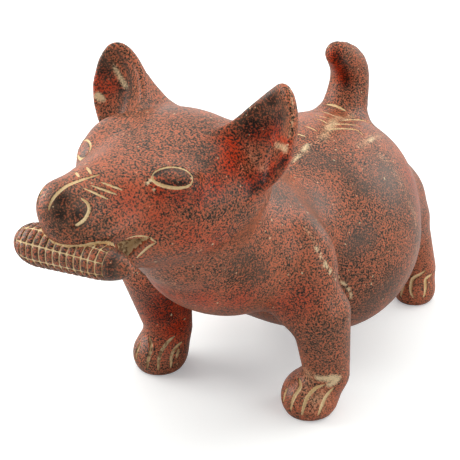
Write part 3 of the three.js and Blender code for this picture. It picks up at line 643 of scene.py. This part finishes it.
chalk = np.maximum.reduce([
    streak(1.5, 0.7, (44.3, -4.3, 88.4), (46.6, -4, 84.2), (48.4, -2.7, 80.4), (50.1, 0.1, 75.3),
           (51.3, 3.2, 71.5)),
    streak(1.5, 0.7, (38.8, 27.8, 60), (40.5, 29.7, 56.7), (42.3, 31.7, 53.7), (43.6, 33.5, 50.1),
           (43.9, 35.3, 45.3)),
    streak(0.5, 1.6, (38.1, -3.5, 95.8), (41.6, -3.9, 92.2), (44.3, -4.3, 88.4)),
    # painted highlight: a pale band of gloss along the back, in this and the next two streaks
    streak(1.1, 0.7, (8.7, 57, 108.6), (9.4, 48.3, 106.2), (9.1, 43.9, 105.2), (9, 39, 103.5)),
    streak(0.7, 3.8, (6.6, 93.1, 109.4), (9, 82, 110.2), (11, 73.9, 110), (12.9, 63.8, 109.2)),
    streak(0.4, 3, (12.9, 63.8, 109.2), (11, 54, 107.5), (9.5, 46, 105.6)),
    streak(1.1, 1.6, (27, 89.5, 103.5), (27.8, 84.3, 103.8)),
    streak(0.5, 3.5, (27.4, 73.7, 104.7), (27.1, 80.1, 104.5), (26.3, 99.7, 101.6)),
    # painted highlight: the same band of gloss going on towards the tail
    streak(0.6, 3, (9, 86, 109.5), (10, 97, 108.2), (9.5, 103.5, 107)),
    streak(1.3, 2.2, (45.6, -1.2, 23.4), (50.7, 1, 24.1), (52.9, 3.7, 22.4), (50.2, 1.6, 20.2)),
    head_streak(0.6, 0.8, (45.4, -24.6, 165.8), (50.6, -28.9, 157.6), (51.4, -32.1, 149.6)),
    head_streak(0.85, 1.8, (41.9, -27.4, 143.2), (45.7, -29.3, 143.8), (50.7, -32.9, 145.3)),
    head_dabs(0.4, 4, (32.3, -31.2, 139.9), (34.7, -32.3, 136.7), (35.6, -37.7, 134.6),
              (38.6, -31.7, 134.3)),
    head_streak(1.1, 1.5, (-44.7, -25.5, 156.9), (-43, -25, 154.1), (-41.1, -24.8, 151.3),
                (-38.7, -25, 149.3)),
    head_streak(1.8, 1.8, (-49, -31.4, 144.4), (-47.8, -30.9, 143.2)),
    # painted highlight along the edge of the haunch, in this and the next streak
    streak(0.4, 4, (33.7, 80.7, 100.6), (45.2, 79.1, 90.3), (52.3, 78.4, 79.3), (56.9, 78.4, 63.7)),
    streak(0.45, 2, (56.9, 78.4, 63.7), (57.5, 76, 54.3), (56.8, 71.6, 47), (54.7, 66.8, 40)),
    # painted highlight of gloss on the chest under the chin
    dabs(0.4, 8, (3.3, -53.8, 82.6), (0.1, -56.3, 85.2), (5.2, -49.6, 78.9)),
    # painted light: the lower near front leg made paler for light thrown up from the floor
    dabs(0.55, 9, (41.1, -0.3, 20.8), (40.9, -1.4, 16.1), (44.5, -1.6, 13.2)),
    head_dabs(2.5, 0.6, (17.7, -71.6, 136.5), (20, -72.5, 133.5), (17.3, -72.9, 135.8)),
])
dull = np.maximum.reduce([
    head_dabs(1, 9, (33.6, -25.5, 150.8), (46, -27.7, 160.1), (45.5, -29.6, 142.7), (49.8, -30.8, 154)),
    head_dabs(1, 9, (-39.6, -24.4, 153.7), (-43.4, -26, 159.8), (-32.2, -26.4, 149.3)),
    head_dabs(1, 9, (25.2, -35.8, 143.6), (27.4, -31.2, 144.9), (29.5, -38, 140.4)),
    head_dabs(0.9, 7, (3.7, -103.9, 134), (7, -103, 128)),
    dabs(0.9, 10, (1, 97.7, 138), (2.3, 104.8, 128.8), (1.5, 109.3, 122.8), (6, 104, 143)),
    dabs(1, 14, (-30, 2, 40), (-28, 8, 30), (-28, 10, 52)),
    dabs(0.7, 8, (3, -50, 72), (-6, -46, 70), (27.2, -35, 86)),
])
sunk = in_mouth(points)
lip_band = np.clip((lip_width - gap_to_cob(points)) * 1.5, -1, 1)
# painted shade: the hole at the end of the nostril line is not cut, only painted dark
nostril_hole = head_dabs(1, 0.9, (8.5, -103.1, 126.2))
# painted shade: darker deeper in the mouth's gap, and on the right front paw's claw lines
shaded_claws = dabs(1, 12, (-36.8, -3, 14.3), (-41, -5.4, 13.2))
gum = np.maximum(np.clip((sunk - 0.8) / 0.9, 0, 1), shaded_claws)
smoke = np.maximum(smoke, nostril_hole * 2)
bare = np.maximum.reduce([np.clip(1.4 - ratio, -1, 1), np.clip(sunk * 4 - 2.4, -1, 1), lip_band])
bare -= nostril_hole * 3


def painted_mesh(name, places, faces, **paint):
    mesh = bpy.data.meshes.new(name)
    mesh.from_pydata(np.asarray(places, float).tolist(), [], faces)
    for layer, values in paint.items():
        mesh.attributes.new(layer, "FLOAT", "POINT").data.foreach_set("value", np.asarray(values, np.float32))
    mesh.polygons.foreach_set("use_smooth", np.ones(len(mesh.polygons), bool))
    mesh.update()
    return mesh


body = placed("dog_body", painted_mesh("dog_body", (carved + standing) * 0.001, faces.tolist(), bare=bare,
                                       gum=gum, smoke=smoke, ember=ember, chalk=chalk, dull=dull))


class Shade:
    """A value, colour or direction on its way through a material's nodes."""

    def __init__(self, tree, socket=None):
        self.tree = tree
        self.socket = socket

    def node(self, kind, settings=(), values=(), output=0):
        made = self.tree.nodes.new(kind)
        for name, value in dict(settings).items():
            setattr(made, name, value)
        for name, value in dict(values).items():
            if isinstance(value, Shade):
                self.tree.links.new(value.socket, made.inputs[name])
            else:
                made.inputs[name].default_value = value
        return Shade(self.tree, made.outputs[output] if made.outputs else None)

    def maths(self, operation, *terms):
        return self.node("ShaderNodeMath", {"operation": operation}, dict(enumerate(terms)))

    def __add__(self, other):
        return self.maths("ADD", self, other)

    __radd__ = __add__

    def __sub__(self, other):
        return self.maths("SUBTRACT", self, other)

    def __rsub__(self, other):
        return self.maths("SUBTRACT", other, self)

    def __mul__(self, other):
        return self.maths("MULTIPLY", self, other)

    __rmul__ = __mul__

    def __truediv__(self, other):
        return self.maths("DIVIDE", self, other)

    def stretch(self, low, high):
        settings = {"interpolation_type": "SMOOTHSTEP"}
        return self.node("ShaderNodeMapRange", settings, {"Value": self, "From Min": low, "From Max": high})

    def blend(self, under, over):
        settings = {"data_type": "RGBA"}
        return self.node("ShaderNodeMix", settings, {0: self, 6: under, 7: over}, 2)


def from_screen(red, green, blue):
    def straight(value):
        value /= 255
        return value / 12.92 if value <= 0.04045 else ((value + 0.055) / 1.055) ** 2.4
    return (straight(red), straight(green), straight(blue), 1.0)


# Slips and clay as they look on a screen, and how many of each grain and cloud go on a metre
dark_grain = from_screen(16, 15, 9)
brown_slip = from_screen(116, 80, 58)
red_slip = from_screen(190, 102, 70)
orange_slip = from_screen(194, 52, 6)
# Ash and soot colour smoke and also painted shade; burnt and orange slip are also the deep orange painted
# into shade; pale clay also paints highlights
ash = from_screen(86, 68, 56)
soot = from_screen(22, 12, 6)
pale_clay = from_screen(232, 212, 170)
burnt_slip = from_screen(112, 38, 14)
shaded_clay = from_screen(216, 182, 128)
open_clay = from_screen(246, 228, 188)
# painted shade in the mouth's gap and on claw lines
gum_brown = from_screen(96, 58, 34)
grain_scale = 1300.0
speck_scale = 520.0
scratch_scale = 420.0
mottle_scale = 130.0
cloud_scale = 26.0


def burnished_slip(name):
    material = bpy.data.materials.new(name)
    material.use_nodes = True
    tree = material.node_tree
    tree.nodes.clear()
    start = Shade(tree)
    place = start.node("ShaderNodeTexCoord", output="Object")

    def noise(scale, detail, rough=0.5):
        values = {"Vector": place, "Scale": scale, "Detail": detail, "Roughness": rough}
        return start.node("ShaderNodeTexNoise", (), values)

    def painted(attribute):
        return start.node("ShaderNodeAttribute", {"attribute_name": attribute}, output="Fac")

    # Fine grain over slow clouds; the paint laid on each point shifts it towards soot, flame orange and pale
    # clay, and also lays painted shade and painted highlights
    grain = noise(grain_scale, 2.0, 0.6)
    mottle = noise(mottle_scale, 3.0, 0.6)
    cloud = noise(cloud_scale, 2.0)
    smoke, ember, chalk = painted("smoke"), painted("ember"), painted("chalk")
    bare, gum, dull = painted("bare"), painted("gum"), painted("dull")

    tone = (grain - 0.5) * 2.1 + (cloud - 0.5) * 0.35 + (mottle - 0.5) * 0.3
    tone = tone + ember * 0.07 - smoke * 0.1 + 0.01
    bright = ember.blend(red_slip, orange_slip)
    ground = tone.stretch(-0.24, -0.1).blend(dark_grain, ember.blend(brown_slip, burnt_slip))
    # Smoke and shade clouds the slip towards ash and soot: fire clouding, and painted shade
    cloudy = (smoke + (cloud - 0.5) * 0.3).stretch(0.1, 1.25) * 0.85
    smoky = (smoke + ember).stretch(0.9, 1.5).blend(ash, soot)
    flecks = (cloudy * 0.55).blend(bright, smoky)
    colour = tone.stretch(-0.02, 0.16).blend(cloudy.blend(ground, smoky), flecks)
    # Pale clay where the slip is rubbed through, and also painted highlights and painted floor light
    worn = (chalk * 0.85 + (mottle - 0.5) * 0.8 + (grain - 0.5) * 1.1).stretch(0.22, 1.1)
    colour = (worn * 0.8).blend(colour, pale_clay)
    speck = noise(speck_scale, 1.0).stretch(0.74, 0.79)
    colour = (speck * 0.6).blend(colour, pale_clay)
    clay_tone = (mottle * 0.5 + grain * 0.5).stretch(0.25, 0.75)
    clay_colour = clay_tone.blend(shaded_clay, open_clay)
    scratched = (noise(scratch_scale, 2.0) + (grain - 0.5) * 0.5).stretch(0.46, 0.58)
    # Painted shade in the mouth's gap and on the right front paw's claws, broken by scratches
    clay_colour = (gum * (scratched * 0.55 + 0.3)).blend(clay_colour, gum_brown)
    open_line = (bare + (grain - 0.5) * 0.5).stretch(0.2, 0.55)
    colour = open_line.blend(colour, clay_colour)

    roughness = (0.42 + (grain - 0.5) * 0.25 + open_line * 0.35) + dull * 0.25
    height = grain * 0.5 + mottle * 0.9 - speck * 0.4
    bump = start.node("ShaderNodeBump", (), {"Height": height, "Strength": 0.35, "Distance": 0.0003})
    finish = start.node("ShaderNodeBsdfPrincipled", (), {
        "Base Color": colour, "Roughness": roughness, "Normal": bump, "Coat Roughness": 0.33,
        "Coat Weight": 0.32 * (1 - open_line.maths("MAXIMUM", open_line, dull)), "Specular IOR Level": 0.18,
    })
    start.node("ShaderNodeOutputMaterial", (), {"Surface": finish})
    return material


clay_finish = burnished_slip("red_slip")
body.data.materials.append(clay_finish)
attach(body, "root")
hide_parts("dog")


# Cob: an ear of maize held across the jaws, rolled from the same clay and pressed on behind. Its kernels are
# low pads left between fine lines cut along and round it; both its ends were left smooth.
bare_butt = 4.5
bare_tip = 9.4
cob_rounds = 64
cob_stations = 90
kernel_rows = 8
kernel_columns = 13
kernel_turn = math.pi / 9
kernel_relief = 0.4
kernel_groove = 0.62
kernel_pitch = (cob_length - bare_butt - bare_tip) / kernel_columns
pad_sink = 0.15
pad_swell = 0.05
pad_back = 0.4


def turned_core():
    rounds = cob_rounds
    stations = cob_length * (1 - np.cos(np.linspace(0.02, 0.98, cob_stations) * math.pi)) / 2
    steps = [end + shift for end in (bare_butt, cob_length - bare_tip) for shift in (-0.1, 0.1)]
    stations = np.sort(np.concatenate([stations, steps]))
    grooved = (stations > bare_butt) & (stations < cob_length - bare_tip)
    radii = cob_radius(stations) - kernel_relief * grooved
    angles = np.arange(rounds) * 2 * math.pi / rounds
    places = [(along, radius * math.cos(angle), radius * math.sin(angle))
              for along, radius in zip(stations, radii) for angle in angles]
    places = np.array(places + [(0, 0, 0), (cob_length, 0, 0)])
    faces = []
    for ring in range(len(stations) - 1):
        for step in range(rounds):
            after = (step + 1) % rounds
            base, next_base = ring * rounds, (ring + 1) * rounds
            faces.append((base + step, base + after, next_base + after, next_base + step))
    last = (len(stations) - 1) * rounds
    for step in range(rounds):
        after = (step + 1) % rounds
        faces.append((len(places) - 2, after, step))
        faces.append((len(places) - 1, last + step, last + after))
    pale = np.concatenate([np.repeat(np.where(grooved, 0.9, -1.0), rounds), [-1, -1]])
    return places, faces, pale


# One kernel: a low swelling with its rim and its closed back sunk in the cob
def kernel_pad():
    half_length = (kernel_pitch - kernel_groove) / 2 + 0.08
    half_angle = math.pi / kernel_rows - kernel_groove / 2 / cob_butt + 0.01
    steps = np.array([-1, -0.9, -0.6, 0, 0.6, 0.9, 1])
    places, faces, pale = [], [], []
    for turn in steps:
        for shift in steps:
            rise = (1 - abs(turn) ** 6) * (1 - abs(shift) ** 6)
            height = (kernel_relief + pad_sink + pad_swell) * min(1, rise * 1.6) - kernel_relief - pad_sink
            angle, radius = turn * half_angle, cob_butt + height
            across, up = radius * math.sin(angle), radius * math.cos(angle) - cob_butt
            places.append((shift * half_length, across, up))
            pale.append(-1.0 if rise > 0.3 else 0.5)
    count = len(steps)
    for turn in range(count - 1):
        for shift in range(count - 1):
            corner = turn * count + shift
            faces.append((corner, corner + 1, corner + count + 1, corner + count))
    last = count * (count - 1)
    rim = [*range(count - 1, 0, -1), *range(0, last, count), *range(last, last + count - 1),
           *range(last + count - 1, count - 1, -count)]
    faces += [(corner, after, len(places)) for corner, after in zip(rim, rim[1:] + rim[:1])]
    places.append((0, 0, -kernel_relief - pad_back))
    pale.append(0.5)
    return painted_mesh("kernel", places, faces, bare=pale)


# Each pad stands on the cob's surface at its row and column, face outwards, smaller towards the ends
def kernels_on_cob(kernel):
    tree = bpy.data.node_groups.new("kernels_on_cob", "GeometryNodeTree")
    inputs = {
        "Kernel": ("Object", kernel), "Finish": ("Material", clay_finish),
        "Rows": ("Int", kernel_rows), "Columns": ("Int", kernel_columns),
        "Pitch": ("Float", kernel_pitch), "First": ("Float", bare_butt + kernel_pitch / 2),
        "Turn": ("Float", kernel_turn), "Length": ("Float", cob_length),
        "Butt": ("Float", cob_butt), "Tip": ("Float", cob_tip),
        "Butt rounding": ("Float", butt_rounding), "Tip rounding": ("Float", tip_rounding),
    }
    tree.interface.new_socket("Geometry", in_out="INPUT", socket_type="NodeSocketGeometry")
    made = {name: tree.interface.new_socket(name, in_out="INPUT", socket_type="NodeSocket" + kind)
            for name, (kind, _) in inputs.items()}
    tree.interface.new_socket("Geometry", in_out="OUTPUT", socket_type="NodeSocketGeometry")
    start = Shade(tree)
    given = {name: start.node("NodeGroupInput", output=name) for name in inputs}

    def radius(along):
        straight = given["Butt"] + (given["Tip"] - given["Butt"]) * along / given["Length"]
        from_butt = along / given["Butt rounding"]
        end = from_butt.maths("MINIMUM", from_butt, (given["Length"] - along) / given["Tip rounding"])
        left = (1 - end).maths("MAXIMUM", 1 - end, 0.0)
        factor = 1 - left * left
        return straight * factor.maths("SQRT", factor)

    number = start.node("GeometryNodeInputIndex")
    row = number.maths("MODULO", number, given["Rows"])
    column = number / given["Rows"]
    column = column.maths("FLOOR", column)
    angle = (row + 0.5) * (2 * math.pi) / given["Rows"] + given["Turn"]
    along = given["First"] + column * given["Pitch"]
    here = radius(along)
    slope = radius(along + 0.5) - radius(along - 0.5)
    cosine, sine = angle.maths("COSINE", angle), angle.maths("SINE", angle)
    place = start.node("ShaderNodeCombineXYZ", (), {"X": along, "Y": here * cosine, "Z": here * sine})
    outwards = start.node("ShaderNodeCombineXYZ", (), {"X": 0 - slope, "Y": cosine, "Z": sine})
    facing = start.node("FunctionNodeAxesToRotation", {"primary_axis": "Z", "secondary_axis": "X"},
                        {"Primary Axis": outwards, "Secondary Axis": (1, 0, 0)})
    size = here / given["Butt"]
    spread = start.node("ShaderNodeCombineXYZ", (), {"X": 1.0, "Y": size, "Z": size})
    count = given["Rows"] * given["Columns"]
    points = start.node("GeometryNodePoints", (), {"Count": count, "Position": place})
    pad = start.node("GeometryNodeObjectInfo", (), {"Object": given["Kernel"]}, "Geometry")
    pads = start.node("GeometryNodeInstanceOnPoints", (), {
        "Points": points, "Instance": pad, "Rotation": facing, "Scale": spread,
    })
    real = start.node("GeometryNodeRealizeInstances", (), {"Geometry": pads})
    finished = start.node("GeometryNodeSetMaterial", (), {"Geometry": real, "Material": given["Finish"]})
    start.node("NodeGroupOutput", (), {"Geometry": finished})
    return tree, {made[name].identifier: value for name, (_, value) in inputs.items()}


kernel = bpy.data.objects.new("kernel", kernel_pad())
tree, settings = kernels_on_cob(kernel)
holder = placed("kernels", bpy.data.meshes.new("kernels"))
modifier = holder.modifiers.new("kernels", "NODES")
modifier.node_group = tree
for identifier, value in settings.items():
    modifier[identifier] = value
evaluated = holder.evaluated_get(bpy.context.evaluated_depsgraph_get())
kernels_mesh = bpy.data.meshes.new_from_object(evaluated)
kernel_places = np.empty(len(kernels_mesh.vertices) * 3)
kernels_mesh.vertices.foreach_get("co", kernel_places)
kernel_pale = np.empty(len(kernels_mesh.vertices))
kernels_mesh.attributes["bare"].data.foreach_get("value", kernel_pale)
kernel_faces = [tuple(polygon.vertices) for polygon in kernels_mesh.polygons]
bpy.data.objects.remove(holder)
bpy.data.objects.remove(kernel)

core_places, core_faces, core_pale = turned_core()
first = len(core_places)
places = np.concatenate([core_places, kernel_places.reshape(-1, 3)])
faces = core_faces + [tuple(first + corner for corner in face) for face in kernel_faces]
inwards = np.cross([0, 0, 1], cob_axis)
inwards /= np.linalg.norm(inwards)
upwards = np.cross(cob_axis, inwards)
lying = from_head(cob_middle + (places - [cob_length / 2, 0, 0]) @ np.stack([cob_axis, inwards, upwards]))
pale = np.concatenate([core_pale, kernel_pale])
pale = np.maximum(pale, np.clip((0.7 - form(lying)) * 1.5, -1, 1))
toward_tip = places[:, 0] / cob_length
smoked_tip = 0.9 * np.exp(-((toward_tip - 0.88) / 0.06) ** 2)
clear_butt = 0.4 * np.clip((0.12 - toward_tip) * 12, 0, 1)
cob = placed("cob", painted_mesh("cob", (lying + standing) * 0.001, faces, bare=pale,
                                 smoke=0.4 + smoked_tip - clear_butt))
cob.data.materials.append(clay_finish)
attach(cob, "root")


# Studio: a white table and the even light of a photographer's tent of white cloth, which is open and dim on
# the camera's side, with one lamp above, one behind and one on each side.
floor_reach = 4.0
corners = [(x * floor_reach, y * floor_reach, 0) for x, y in ((-1, -1), (1, -1), (1, 1), (-1, 1))]
floor_mesh = bpy.data.meshes.new("floor")
floor_mesh.from_pydata(corners, [], [(0, 1, 2, 3)])
floor = placed("floor", floor_mesh)
paper = bpy.data.materials.new("white_paper")
paper.use_nodes = True
paper.node_tree.nodes.clear()
sheet_of_paper = Shade(paper.node_tree)
in_view = sheet_of_paper.node("ShaderNodeLightPath", output="Is Camera Ray")
white = sheet_of_paper.node("ShaderNodeBsdfPrincipled", (), {
    "Base Color": in_view.blend((0.55, 0.55, 0.55, 1), (0.88, 0.92, 0.93, 1)), "Roughness": 0.9,
    "Specular IOR Level": 0.1, "Emission Color": in_view.blend((0, 0, 0, 1), (0.88, 0.95, 1, 1)),
    "Emission Strength": 0.26,
})
sheet_of_paper.node("ShaderNodeOutputMaterial", (), {"Surface": white})
floor.data.materials.append(paper)

world = bpy.data.worlds.new("tent")
world.use_nodes = True
world.node_tree.nodes.clear()
tent = Shade(world.node_tree)
direction = tent.node("ShaderNodeTexCoord", output="Generated")
toward_camera = tent.node("ShaderNodeVectorMath", {"operation": "DOT_PRODUCT"},
                          {0: direction, 1: tuple(-looking)}, "Value")
seen = tent.node("ShaderNodeLightPath", output="Is Camera Ray")
dim = toward_camera.stretch(0.0, 0.85) * 0.65
glow = dim.maths("MAXIMUM", 1.15 - dim, seen)
cloth = seen.blend((1, 0.97, 0.93, 1), (1, 1, 1, 1))
lit = tent.node("ShaderNodeBackground", (), {"Color": cloth, "Strength": glow})
tent.node("ShaderNodeOutputWorld", (), {"Surface": lit})
bpy.context.scene.world = world


def softbox(name, place, aim, width, height, power):
    light = bpy.data.lights.new(name, "AREA")
    light.shape = "RECTANGLE"
    light.size = width
    light.size_y = height
    light.energy = power
    light.color = (1, 0.97, 0.93)
    lamp = placed(name, light)
    lamp.location = place
    lamp.rotation_euler = (Vector(aim) - Vector(place)).to_track_quat("-Z", "Y").to_euler()


softbox("top_light", (-0.05, 0.1, 0.9), (0, 0, 0.08), 0.8, 0.8, 2)
softbox("rear_light", (0.55, 0.7, 0.6), (0, 0, 0.08), 0.7, 0.7, 3)
softbox("left_light", (-0.9, -0.25, 0.45), (0, 0, 0.08), 0.8, 0.8, 7)
softbox("right_light", (1.0, -0.1, 0.35), (0, 0, 0.06), 0.6, 0.6, 2)
bpy.context.scene.view_settings.view_transform = "Standard"
